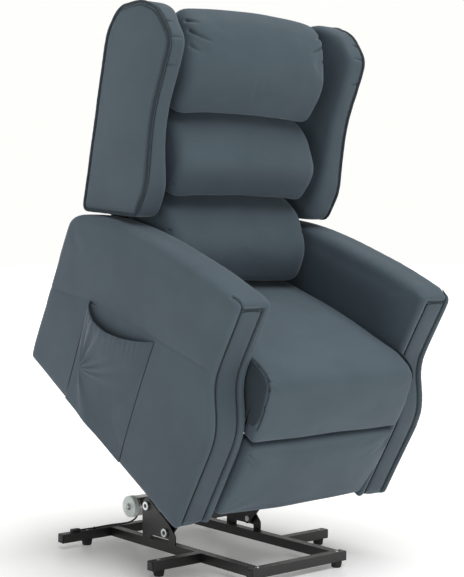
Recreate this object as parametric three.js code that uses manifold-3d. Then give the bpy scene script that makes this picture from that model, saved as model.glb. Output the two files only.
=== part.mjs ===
// Lift recliner chair, drawn in its raised position. Millimetres, +Z up, the sitter faces -Y.
// The base stands on the floor. Everything above it is drawn level in the chair's own frame,
// whose origin is the lower front corner of the arms, and is then tipped forward as one group.
import * as THREE from "three";
import * as BufferGeometryUtils from "three/addons/utils/BufferGeometryUtils.js";
import Module from "manifold-3d";

const wasm = await Module();
wasm.setup();

// ---- driving dimensions ------------------------------------------------------------------
const GAP = 0.3;                          // between pieces that touch
const TILT = THREE.MathUtils.degToRad(30);    // forward lean of the raised chair
const CHAIR_AT = [0, -216, 166];          // lower front corner of the arms, raised

const TUBE = 25;                          // square tube of the base
const FOOT_HEIGHT = 17;
const RAIL_OUTER = 155;                   // half width over the base rails
const REAR_BAR = { half: 318, y: 365 };
const FRONT_BAR = { half: 165, y: -267 };
const OUTRIGGER = { tip: 312, y: -46 };

const PLATE = 6;                          // thickness of a link
const BOLT_R = 8;                         // lift pivots
const LINK_WIDTH = 28;
const PIVOT_REAR = [193, 131];            // rear link on the base, y and z
const PIVOT_FRONT = [108.5, 70.1];        // front link on the base
const REAR_LINK_TOP = [228.6, 82.35];     // rear link on the chair, in the chair's frame
const FRONT_LINK_TOP = [168.4, 62.43];    // front link on the chair, in the chair's frame
const REAR_LINK_X = 144.7;                // inner faces of the two link layers
const FRONT_LINK_X = 138.4;
const LIFT_RAIL_X = 138;                  // outer face of the rails that the links carry
const LIFT_RAIL_WIDTH = 24;

const ACTUATOR_REAR = [345, 100];         // rear eye of the lift motor, y and z
const ACTUATOR_TOP = [320, 190];          // where its rod pushes, in the chair's frame
const MOTOR_AT = [45, 30];                // along and below the rod's line

const ARM_OUTER = 373;
const ARM_INNER = 258;
const SIDE_BOARD_X = 237;                 // inner face of the seat's side boards
const SEAT_HALF = 255;
const WING_OUTER = 342;
const BACK_HALF = 255;
const HINGE_BACK = [650, 200];            // recline hinge, in the chair's frame
const BACK_LINE = [[764, 265], [777, 457], [912, 906], [890, 985]];   // outside of the back

const PIVOT_FOOT = [195, 195.6];          // footrest's first link on the seat
const KNEE = [130, 60];                   // where its two links meet
const PAD_PIVOT = [45, 220];              // second link on the pad

// ---- materials ---------------------------------------------------------------------------
const finish = (color, roughness, metalness) =>
  new THREE.MeshStandardMaterial({ color, roughness, metalness });
const upholstery = finish(0x55626a, 0.7, 0);
const upholsteryPanel = finish(0x4d5a62, 0.7, 0);
const blackSteel = finish(0x1b1c1e, 0.45, 0.6);
const zinc = finish(0xb9bcbd, 0.35, 0.9);
const greySteel = finish(0x6d7072, 0.45, 0.8);
const rubber = finish(0x17181a, 0.8, 0);
const blackPlastic = finish(0x202124, 0.55, 0);
const plywood = finish(0xb8935f, 0.75, 0);
const springWire = finish(0x8c8f92, 0.4, 0.9);

// ---- helpers -----------------------------------------------------------------------------
function addMesh(group, name, geometry, material) {
  const mesh = new THREE.Mesh(geometry, material);
  mesh.name = name;
  group.add(mesh);
  return mesh;
}

// A closed outline through points given as [y, z] or [y, z, corner radius].
function outline(points) {
  const shape = new THREE.Shape();
  const count = points.length;
  points.forEach((point, i) => {
    const corner = new THREE.Vector2(point[0], point[1]);
    const before = new THREE.Vector2(...points[(i + count - 1) % count].slice(0, 2));
    const after = new THREE.Vector2(...points[(i + 1) % count].slice(0, 2));
    const room = 0.48 * Math.min(before.distanceTo(corner), after.distanceTo(corner));
    const radius = Math.min(point[2] ?? 0, room);
    const start = before.sub(corner).setLength(radius).add(corner);
    const end = after.sub(corner).setLength(radius).add(corner);
    if (i === 0) shape.moveTo(start.x, start.y);
    else shape.lineTo(start.x, start.y);
    if (radius > 0) shape.quadraticCurveTo(corner.x, corner.y, end.x, end.y);
  });
  shape.closePath();
  return shape;
}

// Points around an arc, or around a whole circle when the sweep is a full turn.
function arcPoints([y, z], radius, from, sweep, steps) {
  const whole = Math.abs(sweep) > 6.283;
  return Array.from({ length: whole ? steps : steps + 1 }, (_, i) => {
    const angle = from + (sweep * i) / steps;
    return new THREE.Vector2(y + radius * Math.cos(angle), z + radius * Math.sin(angle));
  });
}

const circle = (centre, radius) => new THREE.Path(arcPoints(centre, radius, 0, Math.PI * 2, 24));

// Pushes an outline in y and z out along X, from x0 to x1, with an optional soft edge.
function slab(shape, x0, x1, { soft = 0, segments = 6 } = {}) {
  const geometry = new THREE.ExtrudeGeometry(shape, {
    depth: x1 - x0 - 2 * soft, curveSegments: segments, steps: 1,
    bevelEnabled: soft > 0, bevelSize: soft, bevelThickness: soft, bevelOffset: -soft, bevelSegments: 3,
  });
  geometry.translate(0, 0, x0 + soft);
  const toRow = new THREE.Matrix4().makeBasis(
    new THREE.Vector3(0, 1, 0), new THREE.Vector3(0, 0, 1), new THREE.Vector3(1, 0, 0));
  return geometry.applyMatrix4(toRow);
}

function box([x0, x1], [y0, y1], [z0, z1]) {
  const geometry = new THREE.BoxGeometry(x1 - x0, y1 - y0, z1 - z0);
  return geometry.translate((x0 + x1) / 2, (y0 + y1) / 2, (z0 + z1) / 2);
}

// A round bar along X, with an optional hole.
function roundBar([y, z], radius, x0, x1, hole = 0) {
  const shape = new THREE.Shape(arcPoints([y, z], radius, 0, Math.PI * 2, 28));
  if (hole > 0) shape.holes.push(circle([y, z], hole));
  return slab(shape, x0, x1);
}

function toManifold(geometry) {
  const bare = geometry.clone();
  bare.deleteAttribute("normal");
  bare.deleteAttribute("uv");
  const merged = BufferGeometryUtils.mergeVertices(bare, 1e-4);
  return new wasm.Manifold(new wasm.Mesh({
    numProp: 3,
    vertProperties: new Float32Array(merged.attributes.position.array),
    triVerts: new Uint32Array(merged.index.array),
  }));
}

function fromManifold(solid) {
  const mesh = solid.getMesh();
  const geometry = new THREE.BufferGeometry();
  geometry.setAttribute("position", new THREE.BufferAttribute(new Float32Array(mesh.vertProperties), 3));
  geometry.setIndex(new THREE.BufferAttribute(new Uint32Array(mesh.triVerts), 1));
  geometry.computeVertexNormals();
  return geometry;
}

const join = (...pieces) => fromManifold(pieces.map(toManifold).reduce((whole, piece) => whole.add(piece)));
const cut = (body, ...tools) =>
  fromManifold(tools.map(toManifold).reduce((whole, tool) => whole.subtract(tool), toManifold(body)));

// The same span on the sitter's right (-X) and left (+X).
const SIDES = [["right", -1], ["left", 1]];
const mirrored = (side, near, far) => (side < 0 ? [-far, -near] : [near, far]);

// A flat bar with round ends between two points in y and z, with a hole at each point listed.
function linkBar(from, to, width, holes, holeRadius, x0, x1) {
  const angle = Math.atan2(to[1] - from[1], to[0] - from[0]);
  const shape = new THREE.Shape([
    ...arcPoints(from, width / 2, angle + Math.PI / 2, Math.PI, 12),
    ...arcPoints(to, width / 2, angle - Math.PI / 2, Math.PI, 12),
  ]);
  shape.holes.push(...holes.map((at) => circle(at, holeRadius)));
  return slab(shape, x0, x1);
}

// A shouldered bolt along X: a head at the outside and a shank that runs inwards.
function bolt([y, z], side, shank, headFrom, headTo, tip) {
  const head = roundBar([y, z], shank * 1.5, ...mirrored(side, headFrom, headTo));
  const body = roundBar([y, z], shank, ...mirrored(side, tip, headTo - 1));
  return join(head, body);
}

// A point of the chair's own frame, in the row frame.
function chairToRow([y, z]) {
  return [
    CHAIR_AT[1] + y * Math.cos(TILT) - z * Math.sin(TILT),
    CHAIR_AT[2] + y * Math.sin(TILT) + z * Math.cos(TILT),
  ];
}

// ---- base: everything that stays on the floor ----------------------------------------------
const base = new THREE.Group();
const tubeZ = [FOOT_HEIGHT, FOOT_HEIGHT + TUBE];
const tubeTop = FOOT_HEIGHT + TUBE;

// Each rail is welded to its outrigger, and the rear bar to the motor's clevis and its pin.
function addBaseFrame() {
  const { half: rearHalf, y: rearY } = REAR_BAR;
  const rearBar = box([-rearHalf, rearHalf], [rearY, rearY + TUBE], tubeZ);
  addMesh(base, "rear_bar", join(rearBar, ...actuatorClevis()), blackSteel);
  const frontEdge = FRONT_BAR.y + TUBE;
  addMesh(base, "front_bar",
    box([-FRONT_BAR.half, FRONT_BAR.half], [FRONT_BAR.y, frontEdge], tubeZ), blackSteel);
  for (const [name, side] of SIDES) {
    const railX = mirrored(side, RAIL_OUTER - TUBE, RAIL_OUTER);
    const rail = box(railX, [frontEdge + GAP, rearY - GAP], tubeZ);
    const stubX = mirrored(side, RAIL_OUTER - 1, OUTRIGGER.tip);
    const stub = box(stubX, [OUTRIGGER.y, OUTRIGGER.y + TUBE], tubeZ);
    addMesh(base, `base_rail_${name}`, join(rail, stub), blackSteel);
  }
}

function actuatorClevis() {
  const [y, z] = ACTUATOR_REAR;
  const rear = REAR_BAR.y + 1;
  const cheek = outline([
    [rear, FOOT_HEIGHT + 3], [rear, z + 16, 4], [y + 4, z + 20, 12], [y - 18, z + 14, 14],
    [y - 18, z - 14, 10], [rear - 12, FOOT_HEIGHT + 22, 6], [rear - 12, FOOT_HEIGHT + 3],
  ]);
  const web = box([-27, 27], [rear - 4, rear], [FOOT_HEIGHT + 3, z - 10]);
  const cheeks = SIDES.map(([, side]) => slab(cheek, ...mirrored(side, 21, 27), { segments: 12 }));
  return [web, ...cheeks, roundBar(ACTUATOR_REAR, 6, -32, 32)];
}

function addFeet() {
  const profile = [[0, 0], [11, 0], [13, 1.5], [15, 13], [15, FOOT_HEIGHT - GAP], [0, FOOT_HEIGHT - GAP]];
  const places = {
    rear: [230, REAR_BAR.y + TUBE / 2],
    side: [285, OUTRIGGER.y + TUBE / 2],
    front: [140, FRONT_BAR.y + TUBE / 2],
  };
  for (const [place, [x, y]] of Object.entries(places)) {
    for (const [name, side] of SIDES) {
      const foot = new THREE.LatheGeometry(profile.map(([r, h]) => new THREE.Vector2(r, h)), 24);
      foot.rotateX(Math.PI / 2);
      addMesh(base, `foot_${place}_${name}`, foot.translate(side * x, y, 0), rubber);
    }
  }
}

function addPivotBrackets() {
  const floor = tubeTop + GAP;
  const plate = outline([
    [66, floor], [94, floor], [94, 54, 4], [172, 54, 4], [172, floor], [213, floor],
    [215, 140, 14], [193, 158, 16], [170, 142, 10], [90, 92, 14], [66, 66, 6],
  ]);
  plate.holes.push(circle(PIVOT_REAR, BOLT_R + GAP), circle(PIVOT_FRONT, BOLT_R + GAP));
  const rowPivots = [["rear", PIVOT_REAR, REAR_LINK_X], ["front", PIVOT_FRONT, FRONT_LINK_X]];
  for (const [name, side] of SIDES) {
    const inner = REAR_LINK_X + PLATE + GAP;
    addMesh(base, `pivot_bracket_${name}`,
      slab(plate, ...mirrored(side, inner, RAIL_OUTER), { segments: 12 }), blackSteel);
    for (const [which, at, tip] of rowPivots) {
      const head = RAIL_OUTER + GAP;
      addMesh(base, `${which}_pivot_bolt_${name}`, bolt(at, side, BOLT_R, head, head + 6, tip), zinc);
    }
  }
}

// Route of the motor's lead: down behind the motor and along the top of the rear bar.
const LEAD_R = 2.5;
const LEAD_ROUTE = [
  [-60, 330, 111.4], [-60, 336, 111], [-60, 343, 108], [-60, 350, 100], [-60.5, 354, 90],
  [-62, 355.5, 80], [-65, 357, 70], [-70.5, 359.5, 60], [-79.5, 363, 51.8], [-91, 367.5, 47],
  [-105, 372, 45.3], [-120, 375.5, 44.9], [-136, 378, 44.9], [-155, 379, 44.9], [-175, 378, 44.9],
  [-196, 376.5, 44.9], [-218, 376.5, 44.9], [-240, 378, 44.9], [-256, 378.5, 44.9],
];

function addLead() {
  const curve = new THREE.CatmullRomCurve3(LEAD_ROUTE.map((p) => new THREE.Vector3(...p)));
  const section = new THREE.Shape(arcPoints([0, 0], LEAD_R, 0, Math.PI * 2, 8));
  const lead = new THREE.ExtrudeGeometry(section, {
    steps: 44, bevelEnabled: false, extrudePath: curve,
  });
  addMesh(base, "motor_lead", lead, blackPlastic);
  const plug = box([-282, -256 - GAP], [371.5, 385.5], [tubeTop + GAP, tubeTop + GAP + 8]);
  addMesh(base, "lead_connector", plug, blackPlastic);
}

// ---- the two pairs of lift links -------------------------------------------------------------
const links = new THREE.Group();

// The front links are welded to a cross tube. Each rear link carries its own upper stud.
function addLiftLinks() {
  const frontTop = chairToRow(FRONT_LINK_TOP);
  const rearTop = chairToRow(REAR_LINK_TOP);
  const hole = BOLT_R + GAP;
  const along = 0.3;
  const tubeAt = PIVOT_FRONT.map((value, i) => value + along * (frontTop[i] - value));
  const tubeEnd = FRONT_LINK_X + 1;
  const frontPieces = [roundBar(tubeAt, 11, -tubeEnd, tubeEnd)];
  for (const [name, side] of SIDES) {
    const frontX = mirrored(side, FRONT_LINK_X, FRONT_LINK_X + PLATE);
    frontPieces.push(linkBar(PIVOT_FRONT, frontTop, LINK_WIDTH, [PIVOT_FRONT, frontTop], hole, ...frontX));
    const rearX = mirrored(side, REAR_LINK_X, REAR_LINK_X + PLATE);
    const link = linkBar(PIVOT_REAR, rearTop, LINK_WIDTH, [PIVOT_REAR], hole, ...rearX);
    const head = REAR_LINK_X + PLATE - 1;
    const stud = bolt(rearTop, side, BOLT_R, head, head + 6, LIFT_RAIL_X + GAP);
    addMesh(links, `rear_link_${name}`, join(link, stud), blackSteel);
  }
  addMesh(links, "front_link_frame", join(...frontPieces), blackSteel);
}

// ---- the motor that pushes the chair up ------------------------------------------------------
const actuator = new THREE.Group();
const topInRow = chairToRow(ACTUATOR_TOP);
const reach = Math.hypot(topInRow[0] - ACTUATOR_REAR[0], topInRow[1] - ACTUATOR_REAR[1]);
const aim = Math.atan2(topInRow[1] - ACTUATOR_REAR[1], topInRow[0] - ACTUATOR_REAR[0]);
actuator.position.set(0, ...ACTUATOR_REAR);
actuator.rotation.x = aim;

// Here y runs along the rod's line from the rear eye, and z to the side that the motor is on.
function roundRod(radius, from, to, hole = 0) {
  const points = [[hole, from], [radius, from], [radius, to], [hole, to]];
  if (hole > 0) points.push([hole, from]);
  return new THREE.LatheGeometry(points.map(([r, h]) => new THREE.Vector2(r, h)), 28);
}

function addActuator() {
  const housing = outline([
    [-14, -13, 8], [14, -13, 8], [24, -22, 6], [84, -22, 4], [84, 44, 8], [70, 63, 12], [24, 63, 12],
    [4, 20, 10], [-14, 13, 8],
  ]);
  housing.holes.push(circle([0, 0], 6 + GAP));
  addMesh(actuator, "motor_gearbox", slab(housing, -20, 20, { segments: 6 }), blackPlastic);
  addMesh(actuator, "motor_can", roundBar(MOTOR_AT, 29, -130, -20 - GAP), greySteel);
  addMesh(actuator, "motor_end_cap", roundBar(MOTOR_AT, 30.5, -145, -130 - GAP), zinc);
  addMesh(actuator, "actuator_tube", roundRod(18, 84 + GAP, 388, 11.5), greySteel);
  const eye = roundBar([reach, 0], 14, -11, 11);
  const pin = roundBar([reach, 0], 6, -27, 27);
  addMesh(actuator, "lift_rod", join(roundRod(10, 250, reach - 6), eye, pin), zinc);
}

// ---- the chair itself --------------------------------------------------------------------------
const chair = new THREE.Group();
chair.position.set(...CHAIR_AT);
chair.rotation.x = TILT;

// The two rails that the links carry, and the beams that join them to the seat's side boards.
function addLiftFrame() {
  const rail = outline([
    [120, 44, 8], [300, 44, 8], [340, 70, 8], [712, 70], [712, 96], [120, 96],
  ]);
  const inner = LIFT_RAIL_X - LIFT_RAIL_WIDTH;
  for (const [name, side] of SIDES) {
    const bar = slab(rail, ...mirrored(side, inner, LIFT_RAIL_X), { segments: 10 });
    const head = FRONT_LINK_X + PLATE + GAP;
    const stud = bolt(FRONT_LINK_TOP, side, BOLT_R, head, head + 5, inner + 4);
    addMesh(chair, `lift_rail_${name}`, join(bar, stud), blackSteel);
  }
  const end = SIDE_BOARD_X - GAP;
  const onRail = 96 + GAP;
  addMesh(chair, "rear_cross_member", box([-end, end], [685, 685 + TUBE], [onRail, onRail + TUBE]), blackSteel);
  const beamY = [250, 250 + TUBE];
  const beamTop = 205;
  const front = beamY[1] - 1;
  const cheek = outline([
    [front, onRail], [front, 212], [330, 212, 12], [342, 192, 12], [322, 152, 16], [290, 130, 6],
    [290, onRail],
  ]);
  const web = box([-20, 20], [front - 4, front + 4], [onRail + 1, 212]);
  const beams = [onRail, beamTop - TUBE].map((z) => box([-end, end], beamY, [z, z + TUBE]));
  const cheeks = SIDES.map(([, side]) => slab(cheek, ...mirrored(side, 14, 20), { segments: 8 }));
  const pinWay = slab(slot(ACTUATOR_TOP, [308, 171], 9.4), -30, 30, { segments: 10 });
  addMesh(chair, "actuator_beam", cut(join(...beams, web, ...cheeks), pinWay), blackSteel);
}

// A slot with round ends, for the pin that only pushes.
function slot(from, to, radius) {
  const angle = Math.atan2(to[1] - from[1], to[0] - from[0]);
  return new THREE.Shape([
    ...arcPoints(from, radius, angle + Math.PI / 2, Math.PI, 10),
    ...arcPoints(to, radius, angle - Math.PI / 2, Math.PI, 10),
  ]);
}

function addSeat() {
  const board = outline([[52, 90], [720, 90], [720, 175, 20], [690, 262, 20], [52, 262]]);
  const boardX = [SIDE_BOARD_X, ARM_INNER - GAP];
  for (const [name, side] of SIDES) {
    addMesh(chair, `seat_side_board_${name}`, slab(board, ...mirrored(side, ...boardX)), plywood);
  }
  const end = SIDE_BOARD_X - GAP;
  addMesh(chair, "seat_front_rail", box([-end, end], [36, 56], [256, 300]), plywood);
  addMesh(chair, "seat_rear_rail", box([-end, end], [584, 604], [240, 300]), plywood);
  for (const [i, x] of [-130, 0, 130].entries()) {
    addMesh(chair, `seat_spring_${i + 1}`, sinuousSpring(x), springWire);
  }
  const cushion = outline([
    [-22, 264, 16], [-24, 330, 30], [-6, 432, 30], [62, 449, 60], [300, 422, 90], [511, 378, 60],
    [590, 356, 20], [590, 322, 10], [40, 322, 6], [33, 300], [33, 264, 6],
  ]);
  addMesh(chair, "seat_cushion", slab(cushion, -SEAT_HALF, SEAT_HALF), upholstery);
}

// A zigzag wire from the front rail to the rear rail.
function sinuousSpring(x) {
  const turns = 9;
  const wire = 1.9;
  const height = 300 + GAP + wire;
  const points = [];
  for (let i = 0; i <= turns * 4; i += 1) {
    const y = 40 + (560 * i) / (turns * 4);
    const sag = 6 * Math.sin((Math.PI * i) / (turns * 4));
    points.push(new THREE.Vector3(x + 22 * Math.sin((Math.PI * i) / 2), y, height + sag));
  }
  const section = new THREE.Shape(arcPoints([0, 0], wire, 0, Math.PI * 2, 6));
  return new THREE.ExtrudeGeometry(section, {
    steps: turns * 8, bevelEnabled: false, extrudePath: new THREE.CatmullRomCurve3(points),
  });
}

// Side view of an arm. The front swells forward below and steps back to the hand rest.
function armShape(face) {
  const shape = new THREE.Shape();
  shape.moveTo(764, 0);
  shape.lineTo(783, 404);
  shape.quadraticCurveTo(784, 438, 745, 455);
  shape.bezierCurveTo(640, 512, 500, 548, 370, 569);
  shape.bezierCurveTo(280, 584, 180, 600, 112, 601);
  shape.quadraticCurveTo(75 + face, 601, 75 + face, 570);
  shape.lineTo(75 + face, 425);
  shape.bezierCurveTo(75 + face, 330, face, 330, face, 225);
  shape.lineTo(face, 0);
  shape.closePath();
  return shape;
}

function addArms() {
  const panelDepth = 8;
  const face = armShape(panelDepth);
  const hollow = [ARM_INNER + 32, ARM_OUTER - 32];
  const cavity = outline([[95, -5], [700, -5], [700, 370, 20], [150, 370, 20], [95, 240, 20]]);
  const board = outline([[98, 4], [697, 4], [697, 366, 20], [152, 366, 20], [98, 238, 20]]);
  const strip = new THREE.Shape();
  strip.moveTo(75, 582);
  strip.lineTo(75, 425);
  strip.bezierCurveTo(75, 330, 0, 330, 0, 225);
  strip.lineTo(0, 6);
  const front = panelDepth - GAP;
  strip.lineTo(front, 6);
  strip.lineTo(front, 225);
  strip.bezierCurveTo(front, 330, 75 + front, 330, 75 + front, 425);
  strip.lineTo(75 + front, 570);
  strip.closePath();
  for (const [name, side] of SIDES) {
    const armX = mirrored(side, ARM_INNER, ARM_OUTER);
    const solid = slab(face, ...armX, { soft: 13, segments: 10 });
    addMesh(chair, `arm_${name}`, cut(solid, slab(cavity, ...mirrored(side, ...hollow))), upholstery);
    const boardX = mirrored(side, hollow[0] + 4, hollow[0] + 22);
    addMesh(chair, `arm_board_${name}`, slab(board, ...boardX), plywood);
    const panelX = mirrored(side, ARM_INNER + 31, ARM_OUTER - 23.5);
    addMesh(chair, `arm_front_panel_${name}`, slab(strip, ...panelX, { segments: 10 }), upholsteryPanel);
  }
}

// A patch pocket on the outside of the sitter's right arm, open along its sagging top edge.
function addPocket() {
  const mouth = [[591, 279], [526, 268, 20], [423, 286, 30], [304, 340]];
  const pocket = outline([[562, 6, 8], ...mouth, [272, 40, 20], [276, 6, 8]]);
  const hollow = outline([[552, 22, 8], [575, 400], [316, 400], [286, 60, 20], [290, 22, 8]]);
  const outer = ARM_OUTER + GAP;
  const pouch = slab(hollow, -outer - 7.5, -outer - 2);
  addMesh(chair, "side_pocket", cut(slab(pocket, -outer - 10, -outer), pouch), upholsteryPanel);
}

function addRearSkirt() {
  addMesh(chair, "rear_skirt", box([-ARM_INNER + 2, ARM_INNER - 2], [749, 762], [20, 200]), upholstery);
}

// ---- backrest ----------------------------------------------------------------------------------
const inward = (depth) => BACK_LINE.map(([y, z]) => [y - depth, z]);
function backStrip(outer, inner, z0, z1) {
  const clip = (points) => points.filter(([, z]) => z > z0 && z < z1);
  const at = (points, z) => {
    const i = Math.max(1, points.findIndex((p) => p[1] >= z));
    const [a, b] = [points[i - 1], points[i]];
    return [a[0] + ((b[0] - a[0]) * (z - a[1])) / (b[1] - a[1]), z];
  };
  const side = (depth) => {
    const points = inward(depth);
    return [at(points, z0), ...clip(points), at(points, z1)];
  };
  return outline([...side(outer), ...side(inner).reverse()]);
}

function addBackrest() {
  const panel = backStrip(0, 12, 265, 985);
  addMesh(chair, "back_panel", slab(panel, -BACK_HALF, BACK_HALF), upholstery);
  const post = backStrip(12 + GAP, 40, 292, 960);
  const board = backStrip(12 + GAP, 22, 420, 950);
  const bracket = outline([
    [632, 200, 10], [640, 180, 8], [664, 182, 10], [724, 290, 10], [746, 400, 4], [734, 400, 4],
    [698, 300, 10], [636, 222, 10],
  ]);
  const posts = [];
  for (const [name, side] of SIDES) {
    posts.push(slab(post, ...mirrored(side, 206, 230.4)));
    const plate = slab(bracket, ...mirrored(side, 230.7, SIDE_BOARD_X - GAP));
    const boltHead = roundBar(HINGE_BACK, 9, ...mirrored(side, 225, 231));
    addMesh(chair, `back_hinge_bracket_${name}`, join(plate, boltHead), greySteel);
  }
  addMesh(chair, "back_frame", join(slab(board, -207, 207), ...posts), plywood);
  addWings();
  addPillows();
}

function addWings() {
  const wing = outline([
    [779, 459, 8], [914, 906, 60], [896, 985, 30], [814, 1037, 20], [742, 1047, 30], [655, 1006, 30],
    [645, 930, 20], [633, 810, 60], [563, 640, 30], [566, 560, 12],
  ]);
  for (const [name, side] of SIDES) {
    const wingX = mirrored(side, BACK_HALF + 2, WING_OUTER);
    addMesh(chair, `wing_${name}`, slab(wing, ...wingX), upholstery);
  }
}

function addPillows() {
  const pillows = {
    pillow_head: [[800, 1039, 30], [728, 1020, 30], [640, 900, 70], [668, 812, 12], [836, 812], [862, 900],
      [848, 985, 30]],
    pillow_middle: [[665, 796, 12], [548, 712, 50], [578, 606, 12], [774, 606], [832, 798]],
    pillow_lumbar: [[572, 594, 14], [452, 520, 50], [440, 412, 20], [600, 372, 12], [714, 352],
      [732, 470], [770, 594]],
  };
  for (const [name, points] of Object.entries(pillows)) {
    addMesh(chair, name, slab(outline(points), -250, 250), upholstery);
  }
}

// ---- footrest ----------------------------------------------------------------------------------
function addFootrest() {
  const pad = outline([
    [-24, 243, 24], [30, 243, 14], [30, 26, 12], [-24, 26, 18],
  ]);
  addMesh(chair, "footrest_pad", slab(pad, -SEAT_HALF + 2, SEAT_HALF - 2, { soft: 8 }), upholstery);
  const tab = outline([[30.3, 198], [30.3, 244], [48, 236, 6], [59, 220, 8], [48, 204, 6]]);
  tab.holes.push(circle(PAD_PIVOT, 5 + GAP));
  const hole = 5 + GAP;
  const layers = { tab: [213, 218.4], outer: [218.7, 224.4], inner: [224.7, 230.4] };
  const outerLinks = [];
  const innerLinks = [];
  for (const [name, side] of SIDES) {
    addMesh(chair, `footrest_tab_${name}`, slab(tab, ...mirrored(side, ...layers.tab)), greySteel);
    outerLinks.push(linkBar(KNEE, PAD_PIVOT, 20, [KNEE], hole, ...mirrored(side, ...layers.outer)));
    innerLinks.push(linkBar(PIVOT_FOOT, KNEE, 22, [], hole, ...mirrored(side, ...layers.inner)));
    innerLinks.push(roundBar(PIVOT_FOOT, 7, ...mirrored(side, 230, SIDE_BOARD_X - GAP)));
    innerLinks.push(roundBar(KNEE, 5, ...mirrored(side, 216, 225)));
    outerLinks.push(roundBar(PAD_PIVOT, 5, ...mirrored(side, 212, 219)));
  }
  addMesh(chair, "footrest_inner_links", join(...innerLinks, crossTube(PIVOT_FOOT, KNEE, 225)), greySteel);
  addMesh(chair, "footrest_outer_links", join(...outerLinks, crossTube(PAD_PIVOT, KNEE, 219)), greySteel);
}

// The tube that makes the left and right link of a pair move as one.
function crossTube(from, to, half) {
  const middle = from.map((value, i) => (value + to[i]) / 2);
  return roundBar(middle, 7, -half, half);
}

// ---- assembly ----------------------------------------------------------------------------------
addBaseFrame();
addFeet();
addPivotBrackets();
addLead();
addLiftLinks();
addActuator();
addLiftFrame();
addSeat();
addArms();
addPocket();
addRearSkirt();
addBackrest();
addFootrest();

const liftChair = new THREE.Group();
liftChair.add(base, links, actuator, chair);
export default liftChair;
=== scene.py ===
# Looks of the lift recliner chair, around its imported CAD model. Metres in the row frame.
# Upholstery is shaped in the chair's own level frame, in millimetres, with x across the chair,
# y from front to back and z up, and is then tipped forward with the chair.
import math

import bmesh
import bpy
import numpy as np
from mathutils import Matrix, Vector, noise
from mathutils.bvhtree import BVHTree


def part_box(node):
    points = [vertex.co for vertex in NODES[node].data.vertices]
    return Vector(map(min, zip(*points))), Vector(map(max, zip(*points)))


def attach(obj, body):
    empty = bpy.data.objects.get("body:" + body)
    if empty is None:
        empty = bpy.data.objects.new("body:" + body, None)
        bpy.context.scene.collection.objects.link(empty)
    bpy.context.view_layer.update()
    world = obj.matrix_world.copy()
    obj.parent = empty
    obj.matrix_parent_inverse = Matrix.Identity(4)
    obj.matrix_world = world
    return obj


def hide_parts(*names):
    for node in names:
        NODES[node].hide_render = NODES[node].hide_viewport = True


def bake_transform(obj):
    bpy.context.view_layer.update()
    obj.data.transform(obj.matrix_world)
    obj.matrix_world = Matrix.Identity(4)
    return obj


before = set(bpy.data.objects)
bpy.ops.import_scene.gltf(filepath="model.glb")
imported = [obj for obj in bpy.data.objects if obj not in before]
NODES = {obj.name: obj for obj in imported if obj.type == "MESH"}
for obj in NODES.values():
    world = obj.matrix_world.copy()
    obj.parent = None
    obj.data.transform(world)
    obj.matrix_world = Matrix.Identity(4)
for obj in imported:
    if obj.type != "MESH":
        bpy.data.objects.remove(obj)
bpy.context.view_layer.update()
scene = bpy.context.scene
MM = 0.001

# ---- the chair's own frame ----
TILT = math.radians(30)
CHAIR_AT = Vector((0, -0.216, 0.166))
CHAIR = Matrix.Translation(CHAIR_AT) @ Matrix.Rotation(TILT, 4, "X") @ Matrix.Scale(MM, 4)
SIDES = (("right", -1), ("left", 1))


# ---- camera ----
def add_camera():
    place = Vector((-2.368, -2.786, 0.880))
    right = Vector((0.76623, -0.64255, 0.00478)).normalized()
    back = -Vector((0.64197, 0.76519, -0.04862)).normalized()
    data = bpy.data.cameras.new("camera")
    data.sensor_width = 36
    data.lens = 84.07
    data.shift_x, data.shift_y = 0.0086, 0.0221
    data.clip_start, data.clip_end = 0.1, 60
    camera = bpy.data.objects.new("camera", data)
    turn = Matrix((right, back.cross(right), back)).transposed()
    camera.matrix_world = Matrix.Translation(place) @ turn.to_4x4()
    scene.collection.objects.link(camera)
    scene.camera = camera


add_camera()


# ---- materials ----
def new_node(nodes, kind, **values):
    """Each value goes to the input or the property of its name."""
    node = nodes.new(kind)
    for key, value in values.items():
        socket = key.replace("_", " ")
        if socket in node.inputs:
            node.inputs[socket].default_value = value
        else:
            setattr(node, key, value)
    return node


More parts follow.
